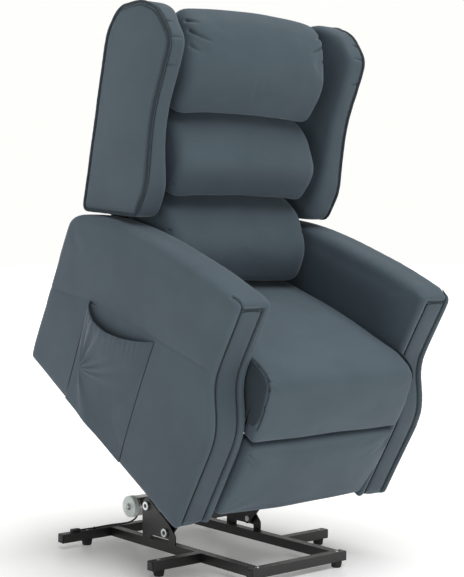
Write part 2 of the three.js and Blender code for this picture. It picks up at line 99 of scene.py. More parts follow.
class Finish:
    """A node material with its Principled shader and object coordinates."""

    def __init__(self, name, **values):
        self.material = bpy.data.materials.new(name)
        self.material.use_nodes = True
        self.nodes = self.material.node_tree.nodes
        self.links = self.material.node_tree.links
        self.shader = self.nodes["Principled BSDF"]
        for socket, value in values.items():
            self.shader.inputs[socket.replace("_", " ")].default_value = value
        self.place = self.nodes.new("ShaderNodeTexCoord").outputs["Object"]

    def node(self, kind, **values):
        return new_node(self.nodes, kind, **values)

    def texture(self, kind, place=None, **values):
        node = self.node(kind, **values)
        self.links.new(place or self.place, node.inputs["Vector"])
        return node.outputs[0]

    def noise(self, scale, detail=3.0, rough=0.5, place=None):
        return self.texture("ShaderNodeTexNoise", place, Scale=scale, Detail=detail, Roughness=rough)

    def stretched(self, scale, stretch, detail=4.0):
        mapping = self.texture("ShaderNodeMapping", Scale=stretch)
        return self.noise(scale, detail, place=mapping)

    def ramp(self, factor, stops):
        node = self.node("ShaderNodeValToRGB")
        while len(node.color_ramp.elements) < len(stops):
            node.color_ramp.elements.new(0.5)
        for element, (at, colour) in zip(node.color_ramp.elements, stops):
            element.position = at
            element.color = (*colour, 1)
        self.links.new(factor, node.inputs["Fac"])
        return node.outputs[0]

    def span(self, factor, low, high, start=0.3, end=0.7):
        node = self.node("ShaderNodeMapRange", To_Min=low, To_Max=high, From_Min=start, From_Max=end)
        self.links.new(factor, node.inputs["Value"])
        return node.outputs[0]

    def mix(self, a, b, factor):
        node = self.node("ShaderNodeMix", data_type="RGBA", blend_type="MULTIPLY", Factor=factor)
        self.links.new(a, node.inputs["A"])
        self.links.new(b, node.inputs["B"])
        return node.outputs["Result"]

    def colour(self, output):
        self.links.new(output, self.shader.inputs["Base Color"])

    def roughness(self, output):
        self.links.new(output, self.shader.inputs["Roughness"])

    def bump(self, height, strength, distance):
        node = self.node("ShaderNodeBump", Strength=strength, Distance=distance)
        last = self.shader.inputs["Normal"].links
        if last:
            self.links.new(last[0].from_socket, node.inputs["Normal"])
        self.links.new(height, node.inputs["Height"])
        self.links.new(node.outputs[0], self.shader.inputs["Normal"])


def tone(colour, factor):
    return tuple(channel * factor for channel in colour)


def fabric(name, colour, sheen=0.25):
    """Fine close-grained upholstery cloth with slight shade changes."""
    f = Finish(name, Sheen_Weight=sheen, Sheen_Roughness=0.45, Sheen_Tint=(0.80, 0.88, 1.0, 1),
               Specular_IOR_Level=0.15)
    broad = f.ramp(f.noise(7, 4), [(0.32, tone(colour, 0.93)), (0.68, tone(colour, 1.07))])
    grain = f.texture("ShaderNodeTexVoronoi", feature="F1", Scale=820)
    flecks = f.ramp(f.noise(520, 2, 0.7), [(0.35, (0.86, 0.87, 0.88)), (0.65, (1.0, 1.0, 1.0))])
    f.colour(f.mix(broad, flecks, 0.8))
    f.roughness(f.span(f.noise(24, 3), 0.60, 0.72))
    f.bump(grain, 0.30, 0.0005)
    f.bump(f.noise(260, 3), 0.22, 0.0007)
    return f.material


def metal(name, colour, roughness, metallic=1.0, grain=None):
    f = Finish(name, Metallic=metallic)
    f.colour(f.ramp(f.noise(38, 4), [(0.35, tone(colour, 0.88)), (0.65, tone(colour, 1.06))]))
    f.roughness(f.span(f.noise(60, 4), roughness * 0.8, roughness * 1.25))
    if grain:
        f.bump(f.stretched(300, grain), 0.08, 0.0002)
    else:
        f.bump(f.noise(700, 2), 0.06, 0.0002)
    return f.material


def powder_coat(name, colour):
    f = Finish(name, Coat_Weight=0.1, Coat_Roughness=0.25, Specular_IOR_Level=0.55)
    f.colour(f.ramp(f.noise(30, 5), [(0.35, tone(colour, 0.85)), (0.65, tone(colour, 1.2))]))
    f.roughness(f.span(f.noise(90, 3), 0.30, 0.44))
    f.bump(f.noise(900, 2), 0.16, 0.0003)
    return f.material


def dull(name, colour, roughness, scale, bump):
    f = Finish(name)
    f.colour(f.ramp(f.noise(scale / 8, 4), [(0.35, tone(colour, 0.85)), (0.65, tone(colour, 1.15))]))
    f.roughness(f.span(f.noise(scale / 5, 3), roughness * 0.9, min(1.0, roughness * 1.1)))
    f.bump(f.noise(scale, 3), bump, 0.0004)
    return f.material


def wood(name, colour):
    f = Finish(name)
    rings = f.stretched(26, (1.0, 0.09, 0.9), 6)
    f.colour(f.ramp(rings, [(0.3, tone(colour, 0.72)), (0.52, colour), (0.75, tone(colour, 1.2))]))
    f.roughness(f.span(rings, 0.62, 0.8))
    f.bump(rings, 0.2, 0.0006)
    return f.material


CLOTH_COLOUR = (0.074, 0.101, 0.120)
CLOTH = fabric("cloth_blue_grey", CLOTH_COLOUR)
# Painted shade: the arm front panels get the same cloth made darker, for the shade that falls on them.
CLOTH_PANEL_PAINTED_SHADE = fabric("cloth_panels_painted_shade", tone(CLOTH_COLOUR, 0.86))
# Painted shade: a much darker copy of the cloth for the seat's side boxing and gussets, which sit in the
# arms' shade.
CLOTH_PAINTED_SHADE = fabric("cloth_boxing_painted_shade", tone(CLOTH_COLOUR, 0.55), sheen=0.1)
CLOTH_POCKET = fabric("cloth_pocket", tone(CLOTH_COLOUR, 0.95))
# Painted shade: a near-black copy of the cloth for the pocket's open mouth, where only shade is seen.
CLOTH_LINING_PAINTED_SHADE = fabric("cloth_painted_shade_lining", tone(CLOTH_COLOUR, 0.12), sheen=0.0)
# Painted shade: a darker copy of the cloth for the wing piping, for the shade along and beside it.
CLOTH_WELT_PAINTED_SHADE = fabric("cloth_welt_painted_shade", tone(CLOTH_COLOUR, 0.42), sheen=0.1)
# Seam tubes: stitching, darkened far below the cloth as painted shade of the seam grooves.
THREAD_AND_SEAM_SHADE = dull("thread_and_painted_seam_shade", tone(CLOTH_COLOUR, 0.16), 0.8, 2500, 0.3)
BLACK_STEEL = powder_coat("black_powder_coat", (0.006, 0.006, 0.006))
ZINC = metal("zinc_plate", (0.66, 0.69, 0.70), 0.26)
ZINC_CAP = metal("zinc_cap", (0.88, 0.96, 0.94), 0.42, 0.25, grain=(1, 1, 1))
GREY_STEEL = metal("grey_steel", (0.36, 0.365, 0.37), 0.30, grain=(1, 0.04, 0.04))
CAN_STEEL = metal("motor_can_steel", (0.62, 0.61, 0.585), 0.19, grain=(1, 0.04, 0.04))
RUBBER = dull("rubber", (0.011, 0.011, 0.012), 0.78, 900, 0.2)
PLASTIC = dull("black_plastic", (0.016, 0.016, 0.018), 0.5, 1400, 0.25)
PLYWOOD = wood("plywood", (0.42, 0.27, 0.13))
# Painted shade: near-black wood for the frame boards that show in the gaps between cushions and arms, where
# only shade is seen.
DARK_WOOD_PAINTED_GAP_SHADE = wood("dark_plywood_painted_gap_shade", (0.020, 0.018, 0.016))
WIRE = metal("spring_wire", (0.30, 0.31, 0.32), 0.35)


# ---- pieces ----
def add_object(name, mesh, material):
    obj = bpy.data.objects.new(name, mesh)
    scene.collection.objects.link(obj)
    mesh.materials.clear()
    mesh.materials.append(material)
    mesh.polygons.foreach_set("use_smooth", [True] * len(mesh.polygons))
    return obj


def settle(obj, body, replaces=()):
    """Gives a piece its body and hides the CAD nodes that it stands for."""
    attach(obj, body)
    if replaces:
        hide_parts(*replaces)
    return obj


def in_chair(obj):
    """Turns a piece made in the chair's own millimetres into the row frame."""
    obj.data.transform(CHAIR)
    obj.data.update()
    return obj


def sewn(name, mesh, material, body="seat", replaces=()):
    return settle(in_chair(add_object(name, mesh, material)), body, replaces)


def per_vertex(mesh, values):
    flat = np.empty(len(mesh.vertices) * 3, dtype=np.float32)
    mesh.vertices.foreach_get(values, flat)
    return flat.reshape(-1, 3).astype(np.float64)


def positions(mesh):
    return per_vertex(mesh, "co")


def surface_normals(mesh):
    return per_vertex(mesh, "normal")


def move_to(mesh, points):
    mesh.vertices.foreach_set("co", np.asarray(points, dtype=np.float32).ravel())
    mesh.update()


def relax(mesh, rounds, amount=0.5):
    """Evens out the steps that a voxel remesh leaves."""
    edges = np.empty(len(mesh.edges) * 2, dtype=np.int64)
    mesh.edges.foreach_get("vertices", edges)
    a, b = edges.reshape(-1, 2).T
    points = positions(mesh)
    count = np.bincount(a, minlength=len(points)) + np.bincount(b, minlength=len(points))
    for _ in range(rounds):
        total = np.stack([
            np.bincount(a, points[b, i], len(points)) + np.bincount(b, points[a, i], len(points))
            for i in range(3)
        ], axis=1)
        points += amount * (total / np.maximum(count, 1)[:, None] - points)
    move_to(mesh, points)


def skin(bm, loops, ends=True):
    """Joins loops that have as many vertices each, and closes the first and the last."""
    count = len(loops[0])
    for near, far in zip(loops, loops[1:]):
        for i in range(count):
            j = (i + 1) % count
            bm.faces.new((near[i], near[j], far[j], far[i]))
    if ends:
        bm.faces.new(loops[0])
        bm.faces.new(loops[-1])


def mesh_of(bm, name, closed=True):
    if closed:
        bmesh.ops.recalc_face_normals(bm, faces=bm.faces)
    mesh = bpy.data.meshes.new(name)
    bm.to_mesh(mesh)
    bm.free()
    return mesh


# ---- outlines ----
def rounded(corners):
    """A closed outline through (y, z) or (y, z, corner radius)."""
    points = []
    for i, (y, z, *radius) in enumerate(corners):
        corner = Vector((y, z))
        before = Vector(corners[i - 1][:2])
        after = Vector(corners[(i + 1) % len(corners)][:2])
        room = min((before - corner).length, (after - corner).length)
        reach = min(radius[0] if radius else 0, 0.48 * room)
        if not reach:
            points.append(corner)
            continue
        start = corner + (before - corner).normalized() * reach
        end = corner + (after - corner).normalized() * reach
        for step in range(9):
            t = step / 8
            points.append(start.lerp(corner, t).lerp(corner.lerp(end, t), t))
    return points


def traced(start, *segments, steps=14):
    """Points along lines (one point), quadratic (two) and cubic (three points) curves."""
    points = [Vector(start)]
    for segment in segments:
        hull = [points[-1]] + [Vector(p) for p in segment]
        count = 1 if len(segment) == 1 else steps
        for i in range(1, count + 1):
            level = hull
            while len(level) > 1:
                level = [a.lerp(b, i / count) for a, b in zip(level, level[1:])]
            points.append(level[0])
    return points


def spaced(points, step, closed=True):
    """The same line with its points evenly spaced."""
    line = np.array([tuple(p) for p in points], dtype=float)
    if closed:
        line = np.vstack([line, line[:1]])
    lengths = np.linalg.norm(np.diff(line, axis=0), axis=1)
    at = np.concatenate([[0], np.cumsum(lengths)])
    count = max(3, round(at[-1] / step))
    stations = np.linspace(0, at[-1], count + 1)
    if closed:
        stations = stations[:-1]
    return np.stack([np.interp(stations, at, line[:, i]) for i in range(line.shape[1])], axis=1)


def inset_normals(line):
    """Unit inward normals of a closed outline."""
    ahead, behind = np.roll(line, -1, axis=0), np.roll(line, 1, axis=0)
    along = ahead - behind
    along /= np.linalg.norm(along, axis=1)[:, None]
    turn = np.sum(line[:, 0] * ahead[:, 1] - ahead[:, 0] * line[:, 1])
    inward = np.stack([-along[:, 1], along[:, 0]], axis=1)
    return inward if turn > 0 else -inward


def slab(outline, x0, x1, edges, inset=0.0, step=9.0):
    """A mesh of the outline pushed along x. edges are the radii of its two rims. A radius or the
    inset can be a function that gives one for each point of the outline."""
    line = spaced(outline, step)
    inward = inset_normals(line)

    def per_point(value):
        return np.broadcast_to(value(line) if callable(value) else value, len(line)).astype(float)

    inset = per_point(inset)
    rings = []
    for end, sign, edge in ((x0, 1, edges[0]), (x1, -1, edges[1])):
        edge = per_point(edge)
        half = [(end + sign * edge * (1 - math.cos(a)), inset + edge * (1 - math.sin(a)))
                for a in np.linspace(0, math.pi / 2, 6)]
        rings += half if sign > 0 else half[::-1]
    bm = bmesh.new()
    loops = []
    for x, depth in rings:
        flat = line + inward * depth[:, None]
        loops.append([bm.verts.new((xi, y, z)) for xi, (y, z) in zip(x, flat)])
    skin(bm, loops)
    return mesh_of(bm, "slab")


def evaluated(obj):
    graph = bpy.context.evaluated_depsgraph_get()
    return bpy.data.meshes.new_from_object(obj.evaluated_get(graph))


def replaced_mesh(obj, mesh):
    old = obj.data
    obj.modifiers.clear()
    obj.data = mesh
    bpy.data.meshes.remove(old)


def applied(obj, kind, **values):
    """Makes what a modifier gives the mesh of obj."""
    modifier = obj.modifiers.new("shape", kind)
    for key, value in values.items():
        setattr(modifier, key, value)
    replaced_mesh(obj, evaluated(obj))


def remeshed(obj, voxel, rounds=4):
    applied(obj, "REMESH", mode="VOXEL", voxel_size=voxel)
    relax(obj.data, rounds)


def finer(obj):
    applied(obj, "SUBSURF", levels=1)


def cut_out(obj, mesh):
    """Takes a solid out of obj before it is remeshed."""
    tool = bpy.data.objects.new("cutter", mesh)
    scene.collection.objects.link(tool)
    applied(obj, "BOOLEAN", operation="DIFFERENCE", solver="EXACT", object=tool)
    bpy.data.objects.remove(tool)
    bpy.data.meshes.remove(mesh)


# ---- cloth ----
# The simulation works at a scale of one unit to a metre, so the pieces are shrunk for it.
CLOTH_SETTINGS = {
    "quality": 4, "mass": 0.25, "tension_stiffness": 12, "compression_stiffness": 12,
    "shear_stiffness": 6, "bending_stiffness": 0.6, "use_pressure": True, "vertex_group_mass": "held",
    "pin_stiffness": 1,
}
TICKS = 20
SLACK_SWELL, SLIDE = 2, 3
waiting = []


def stuff(obj, cap, held, pressure=4.0):
    """Queues obj for the cloth simulation: it swells by up to cap, but not where held is true."""
    mesh = obj.data
    points, facing = positions(mesh), surface_normals(mesh)
    group = obj.vertex_groups.new(name="held")
    fixed = np.nonzero(held(points, facing))[0]
    group.add([int(i) for i in fixed], 1.0, "REPLACE")
    waiting.append((obj, cap, points, pressure))


def simulate():
    for obj, _, points, pressure in waiting:
        move_to(obj.data, points * MM)
        cloth = obj.modifiers.new("cloth", "CLOTH")
        for key, value in CLOTH_SETTINGS.items():
            setattr(cloth.settings, key, value)
        cloth.settings.uniform_pressure_force = pressure
        cloth.settings.effector_weights.gravity = 0
        cloth.collision_settings.use_collision = False
        cloth.collision_settings.use_self_collision = False
    for tick in range(1, TICKS + 1):
        scene.frame_set(tick)
    for obj, cap, start, _ in waiting:
        outward = surface_normals(obj.data)
        mesh = evaluated(obj)
        move = positions(mesh) / MM - start
        swell = np.sum(move * outward, axis=1)
        slide = move - swell[:, None] * outward
        swell = np.where(swell > 0, cap * np.tanh(swell / cap), SLACK_SWELL * np.tanh(swell / 12))
        reach = np.maximum(np.linalg.norm(slide, axis=1), 1e-6)
        slide *= (SLIDE * np.tanh(reach / 12) / reach)[:, None]
        replaced_mesh(obj, mesh)
        move_to(obj.data, start + swell[:, None] * outward + slide)
        relax(obj.data, 3)
    scene.frame_set(1)


# ---- sewn detail, after the simulation ----
def to_line(points, line):
    """Distance from each point to a polyline, and the share of its length at the nearest place."""
    line = np.asarray(line, dtype=float)
    lengths = np.linalg.norm(np.diff(line, axis=0), axis=1)
    total, done = lengths.sum(), 0.0
    best, along = np.full(len(points), 1e9), np.zeros(len(points))
    for a, b, length in zip(line, line[1:], lengths):
        run = b - a
        t = np.clip(((points - a) @ run) / max(run @ run, 1e-9), 0, 1)
        distance = np.linalg.norm(points - (a + t[:, None] * run), axis=1)
        closer = distance < best
        best[closer] = distance[closer]
        along[closer] = (done + t[closer] * length) / total
        done += length
    return best, along


def laid_on(obj, line, lift=0.0):
    """A line moved onto the surface of obj."""
    mesh = obj.data
    tree = BVHTree.FromPolygons([v.co for v in mesh.vertices], [tuple(p.vertices) for p in mesh.polygons])
    points = []
    for p in line:
        place, normal, _, _ = tree.find_nearest(Vector(p))
        points.append(tuple(place + normal * lift))
    return np.array(points)


def smoothed(line, rounds):
    line = np.array(line)
    for _ in range(rounds):
        line[1:-1] = (line[:-2] + 2 * line[1:-1] + line[2:]) / 4
    return line


def groove(obj, line, width, depth, fade=False):
    """Draws the cloth in along a line, or out if depth is negative. A faded groove runs out."""
    points, facing = positions(obj.data), surface_normals(obj.data)
    distance, along = to_line(points, line)
    pull = depth * np.exp(-((distance / width) ** 2))
    if fade:
        pull *= (1 - along) ** 0.7
    move_to(obj.data, points - facing * pull[:, None])


def tuck(obj, start, aim, reach, points, width, depth):
    """A short fold that runs out, from start in a direction."""
    start, aim = np.array(start, dtype=float), np.array(aim)
    line = laid_on(obj, [start + aim * reach * t for t in np.linspace(0, 1, points)])
    groove(obj, line, width, depth, fade=True)


def puckers(obj, seam, count, length, depth, towards, seed):
    """Short folds that run from a seam into the cloth, towards a point."""
    seam = np.asarray(seam, dtype=float)
    whole = np.linalg.norm(np.diff(seam, axis=0), axis=1).sum()
    stations = spaced(seam, whole / (count + 1), closed=False)
    for i, start in enumerate(stations[1:-1]):
        wobble = noise.noise_vector(Vector((seed * 7.3 + i * 1.7, 0.4, 2.1)))
        aim = np.asarray(towards, dtype=float) - start
        aim = aim / np.linalg.norm(aim) + 0.35 * np.array(wobble)
        reach = length * (0.75 + 0.5 * abs(wobble[0]))
        tuck(obj, start, aim, reach, 5, 3.4, depth * (0.7 + 0.6 * abs(wobble[1])))


def uneven(obj, amount, size, seed):
    """Slight soft waves in the stuffing."""
    points, facing = positions(obj.data), surface_normals(obj.data)
    shift = Vector((seed * 3.1, seed * 1.7, 0))
    waves = np.array([noise.noise(Vector(p) / size + shift) for p in points])
    move_to(obj.data, points + facing * (amount * waves)[:, None])


def tube_mesh(path, radius, sides=10, closed=False):
    """A closed tube along a path. radius is a number or one for each point."""
    path = [Vector(p) for p in path]
    count = len(path)
    radii = [float(r) for r in np.broadcast_to(radius, count)]
    bm = bmesh.new()
    rings, across = [], None
    for i, p in enumerate(path):
        if closed:
            along = path[(i + 1) % count] - path[i - 1]
        else:
            along = path[min(i + 1, count - 1)] - path[max(i - 1, 0)]
        along.normalize()
        if across is None:
            across = along.orthogonal().normalized()
        across = (across - along * across.dot(along)).normalized()
        third = along.cross(across)
        rings.append([
            bm.verts.new(p + radii[i] * (math.cos(a) * across + math.sin(a) * third))
            for a in (2 * math.pi * k / sides for k in range(sides))
        ])
    skin(bm, rings, ends=not closed)
    if closed:
        last, first = rings[-1], rings[0]
        turn = min(range(sides), key=lambda k: (last[0].co - first[k].co).length)
        skin(bm, [last, first[turn:] + first[:turn]], ends=False)
    return mesh_of(bm, "tube")


def mirror_of(obj, name):
    mesh = obj.data.copy()
    mesh.transform(Matrix.Scale(-1, 4, Vector((1, 0, 0))))
    mesh.flip_normals()
    return add_object(name, mesh, obj.data.materials[0])


# ---- the motor's lead ----
LEAD_ROUTE = [
    (-0.060, 0.330, 0.1114), (-0.060, 0.336, 0.111), (-0.060, 0.343, 0.108), (-0.060, 0.350, 0.100),
    (-0.0605, 0.354, 0.090), (-0.062, 0.3555, 0.080), (-0.065, 0.357, 0.070),
    (-0.0705, 0.3595, 0.060), (-0.0795, 0.363, 0.0518), (-0.091, 0.3675, 0.047),
    (-0.105, 0.372, 0.0453), (-0.120, 0.3755, 0.0449), (-0.136, 0.378, 0.0449),
    (-0.155, 0.379, 0.0449), (-0.175, 0.378, 0.0449), (-0.196, 0.3765, 0.0449),
    (-0.218, 0.3765, 0.0449), (-0.240, 0.378, 0.0449), (-0.256, 0.3785, 0.0449),
]
LEAD_DIAMETER = 0.005


def catmull_rom(points, per_span=5):
    points = [Vector(p) for p in points]
    ends = [points[0] * 2 - points[1]] + points + [points[-1] * 2 - points[-2]]
    made = []
    for p0, p1, p2, p3 in zip(ends, ends[1:], ends[2:], ends[3:]):
        for i in range(per_span):
            t = i / per_span
            made.append(0.5 * (
                2 * p1 + (p2 - p0) * t + (2 * p0 - 5 * p1 + 4 * p2 - p3) * t ** 2
                + (3 * p1 - p0 - 3 * p2 + p3) * t ** 3))
    return made + [points[-1]]


def add_lead():
    path = catmull_rom(LEAD_ROUTE)
    lead = add_object("motor_lead_flex", tube_mesh(path, LEAD_DIAMETER / 2, 10), PLASTIC)
    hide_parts("motor_lead")
    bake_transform(lead)
    boot = [Vector((-0.060, y, 0.1114)) for y in (0.3175, 0.3195, 0.322, 0.327, 0.332, 0.337, 0.3385)]
    radii = [0.0075, 0.0078, 0.0070, 0.0052, 0.0042, 0.0035, 0.0028]
    settle(add_object("lead_strain_relief", tube_mesh(boot, radii, 16), PLASTIC),
           "lift_motor")


add_lead()

# ---- shapes of the upholstery ----
ARM_OUTER, ARM_INNER = 373, 258
PANEL_DEPTH = 8
ARM_SEAM, ARM_SEAM_INNER = 21.5, 29
FACE_LOW, FACE_HIGH = PANEL_DEPTH, PANEL_DEPTH + 75
ARM_OUTLINE = traced(
    (764, -2), [(783, 404)], [(784, 438), (745, 455)], [(640, 512), (500, 548), (370, 569)],
    [(280, 584), (180, 600), (112, 601)], [(FACE_HIGH, 601), (FACE_HIGH, 570)], [(FACE_HIGH, 425)],
    [(FACE_HIGH, 330), (FACE_LOW, 330), (FACE_LOW, 225)], [(FACE_LOW, -2)])
FRONT_CURVE = traced((FACE_LOW, 6), [(FACE_LOW, 225)],
                     [(FACE_LOW, 330), (FACE_HIGH, 330), (FACE_HIGH, 425)], [(FACE_HIGH, 576)])
ARM_SIDE_SEAM = [(776, 213), (680, 249), (585, 286), (480, 316), (373, 343), (253, 371), (170, 390),
                 (92, 408)]
WING_OUTLINE = rounded([
    (779, 452, 14), (914, 906, 60), (896, 985, 30), (814, 1037, 20), (742, 1047, 30), (655, 1006, 30),
    (645, 930, 20), (633, 810, 60), (563, 640, 30), (566, 552, 16)])
WING_INNER, WING_OUTER = 257, 342
PILLOWS = {
    "head": [(800, 1052, 30), (724, 1036, 34), (640, 905, 80), (660, 800, 22), (700, 792, 10),
             (832, 800), (862, 900), (848, 985, 30)],
    "middle": [(690, 792, 20), (640, 776, 40), (552, 700, 60), (574, 600, 18), (640, 596, 12),
               (774, 602), (830, 796)],
    "lumbar": [(620, 592, 20), (560, 580, 40), (470, 500, 70), (462, 402, 26), (520, 380, 20),
               (600, 368, 12), (714, 352), (732, 470), (768, 592)],
}
PILLOW_HALF = 250
SEAT_OUTLINE = rounded([
    (-21, 254, 9), (-25, 330, 30), (-8, 432, 30), (62, 449, 60), (300, 422, 90), (511, 378, 60),
    (590, 356, 20), (590, 322, 10), (40, 322, 6), (33, 300), (33, 256, 6)])
GUSSET_OUTLINE = rounded([
    (30, 259, 3), (51.3, 259, 2), (51.5, 263, 2), (100, 263, 3), (100, 331, 3), (30, 331, 3)])
BOXING_OUTLINE = rounded([
    (-6, 296, 20), (-13, 330, 30), (3, 415, 30), (40, 431, 30), (95, 434, 4), (95, 329, 4),
    (28, 329, 4), (24, 296, 8)])
SEAT_HALF = 255
FOOTREST_OUTLINE = rounded([(-23, 251, 9), (30, 251, 4), (30, 24, 12), (-3, 17, 12), (-22, 140, 60)])
FOOTREST_HALF = 253
BACK_LINE = [(764, 265), (777, 457), (912, 906), (890, 985)]
BACK_OUTLINE = [Vector(p) for p in BACK_LINE] + [Vector((y - 12, z)) for y, z in reversed(BACK_LINE)]
BACK_HALF = 255
# how far the roll ends, the seat's sides, the footrest's edge and the arm's outer hem hang down
END_HANG, SIDE_FALL, EDGE_SAG, HEM_DROP = 12, 7, 9, 6
WING_LEAN = 25


def ease(values, low, high):
    t = np.clip((values - low) / (high - low), 0, 1)
    return t * t * (3 - 2 * t)


def soft_body(name, outline, x0, x1, edges, inset, voxel, mould=None, cutter=None):
    """inset is how far the piece starts inside its low end, its high end and its outline."""
    low, high, around = inset
    obj = add_object(name, slab(outline, x0 + low, x1 - high, edges, around), CLOTH)
    if cutter:
        cut_out(obj, cutter)
    remeshed(obj, voxel)
    if mould:
        move_to(obj.data, mould(positions(obj.data)))
        relax(obj.data, 2)
    return obj


def pillow_mould(centre, narrow, crown):
    """Rounds a roll's ends by drawing them in towards its axis, lifts its crown and lets its ends hang."""
    def mould(points):
        share = np.abs(points[:, 0]) / PILLOW_HALF
        scale = 1 - narrow * np.clip((share - 0.7) / 0.3, 0, 1) ** 2.6
        height = points[:, 2].copy()
        for i, c in ((1, centre[0]), (2, centre[1])):
            points[:, i] = c + (points[:, i] - c) * scale
        points[:, 2] += crown * (1 - share ** 2) * ease(height, centre[1], height.max())
        points[:, 2] -= END_HANG * share ** 2 * (1 - ease(height, height.min(), height.min() + 80))
        return points
    return mould


def seat_mould(points):
    """The top falls a little towards the sides."""
    share = np.abs(points[:, 0]) / SEAT_HALF
    points[:, 2] -= SIDE_FALL * share ** 4 * ease(points[:, 2], 330, 420)
    return points


def seat_inset(line):
    return 0.5 + 3 * ease(line[:, 1], 262, 330) + 4 * ease(line[:, 1], 405, 445)


def footrest_mould(points):
    """The lower edge hangs down in the middle."""
    share = np.abs(points[:, 0]) / FOOTREST_HALF
    points[:, 2] -= EDGE_SAG * (1 - share ** 2) * (1 - ease(points[:, 2], 20, 110))
    return points


def arm_mould(points):
    """The outer face hangs lower than the inner one, which comes down close to the frame."""
    points[:, 2] -= HEM_DROP * (1 - ease(points[:, 2], 0, 60)) * (1 - ease(points[:, 0], -315, -290))
    return points


def wing_mould(points):
    """The inner face leans outwards above the arm, in front of the back."""
    share = (points[:, 0] + WING_OUTER) / (WING_OUTER - WING_INNER)
    lean = WING_LEAN * ease(points[:, 2], 560, 780) * (1 - ease(points[:, 1], 700, 800))
    points[:, 0] -= lean * share
    return points


def arm_edges(line):
    """Rim radius round the arm: wide along the top, tighter at the front panel and below."""
    y, z = line[:, 0], line[:, 1]
    top = ease(z, 395, 470)
    front = 1 - ease(y, 90, 150)
    return 9 + 17 * top * (1 - 0.6 * front)


def arm_held(p, n):
    cavity = (p[:, 2] < 376) & (p[:, 1] > 90) & (p[:, 1] < 706)
    cavity &= (p[:, 0] > -ARM_OUTER + 28) & (p[:, 0] < -ARM_INNER - 28)
    seam, _ = to_line(p, [(-ARM_OUTER + 3, y, z) for y, z in ARM_SIDE_SEAM])
    return cavity | (seam < 8) | (p[:, 2] < 8) | (p[:, 1] < 16) | (np.abs(n[:, 0]) < 0.75)


def wing_held(p, n):
    rim, _ = to_line(p, [(-WING_OUTER + 4, *q) for q in spaced(WING_OUTLINE, 20)])
    return (rim < 12) | (n[:, 0] > 0.6)


def seat_held(p, n):
    under = (p[:, 2] < 336) & (p[:, 1] > 34)
    lip = ((p[:, 1] > 18) & (p[:, 2] < 330)) | (p[:, 2] < 262)
    return under | lip | (np.abs(p[:, 0]) > SEAT_HALF - 12)


def build_soft():
    made = {}
    rolls = (("head", 17, (800, 920), 0.05, 14, 3.0), ("middle", 17, (770, 690), 0.04, 5, 3.0),
             ("lumbar", 16, (740, 470), 0.09, 0, 2.4))
    for name, cap, centre, narrow, crown, pressure in rolls:
        made[name] = soft_body(
            f"pillow_{name}_cover", rounded(PILLOWS[name]), -PILLOW_HALF, PILLOW_HALF, (30, 30),
            (6, 6, 8), 5.5, pillow_mould(centre, narrow, crown))
        stuff(made[name], cap, lambda p, n: n[:, 1] > 0.55, pressure)
    made["seat"] = soft_body("seat_cover", SEAT_OUTLINE, -SEAT_HALF, SEAT_HALF, (7, 7),
                             (0.5, 0.5, seat_inset), 6, seat_mould)
    stuff(made["seat"], 16, seat_held)
    made["foot"] = soft_body("footrest_cover", FOOTREST_OUTLINE, -FOOTREST_HALF, FOOTREST_HALF, (6, 6),
                             (0, 0, 0), 5.5, footrest_mould)
    stuff(made["foot"], 7, lambda p, n: (p[:, 1] > 16) | (n[:, 1] > -0.5), 1.6)
    cavity = slab(rounded([(95, -5), (700, -5), (700, 370, 20), (150, 370, 20), (95, 240, 20)]),
                  -ARM_OUTER + 32, -ARM_INNER - 32, (1, 1))
    made["arm"] = soft_body("arm_cover_right", ARM_OUTLINE, -ARM_OUTER, -ARM_INNER,
                            (arm_edges, arm_edges), (-2.5, 0.5, -2), 6.5, arm_mould, cavity)
    stuff(made["arm"], 5, arm_held, 0.4)
    made["wing"] = soft_body("wing_cover_right", WING_OUTLINE, -WING_OUTER, -WING_INNER, (5, 20),
                             (0.5, 1, -1.5), 5.5, wing_mould)
    stuff(made["wing"], 8, wing_held, 3.0)
    made["back"] = soft_body("back_cover", BACK_OUTLINE, -BACK_HALF, BACK_HALF, (3, 3),
                             (0.5, 0.5, 0.5), 5.5)
    stuff(made["back"], 9, lambda p, n: (n[:, 1] < 0.3) | (np.abs(p[:, 0]) > BACK_HALF - 9))
    return made


soft = build_soft()
simulate()
for piece in soft.values():
    finer(piece)


# ---- sewing ----
def outline_at(outline, x, inset=0.0, step=8.0):
    line = spaced(outline, step)
    line = line + inset_normals(line) * inset
    return np.array([(x, y, z) for y, z in line])


def part_of(line, keep):
    return np.array([p for p in line if keep(p)])


# Radii of the dark seam tubes, which stand for the stitching and paint the grooves' shade.
SEAT_THREAD, SIDE_THREAD, TOP_THREAD, BAND_THREAD = 1.3, 1.2, 0.7, 0.8
PIPING = 4.3


def sew_pillows():
    for name, count, seed in (("head", 2, 21), ("middle", 3, 5), ("lumbar", 3, 9)):
        obj = soft[name]
        uneven(obj, 2.2, 110, seed)
        centre = np.mean([c[:2] for c in PILLOWS[name]], axis=0)
        for side in (-1, 1):
            rim = outline_at(rounded(PILLOWS[name]), side * (PILLOW_HALF - 8), 26)
            front = part_of(rim, lambda p, c=centre: p[1] < c[0] + 20)
            order = np.argsort(front[:, 2])
            puckers(obj, front[order], count, 34, 4.2, (side * 120, centre[0] - 60, centre[1]),
                    seed=seed + side)
    for side in (-1, 1):
        for y, z, reach, depth in ((748, 1028, 46, 6.5), (718, 1010, 74, 8.0), (690, 980, 40, 5.0)):
            tuck(soft["head"], (side * 246, y, z), (-side * 1.0, -0.25, -0.28), reach, 6, 4.5, depth)


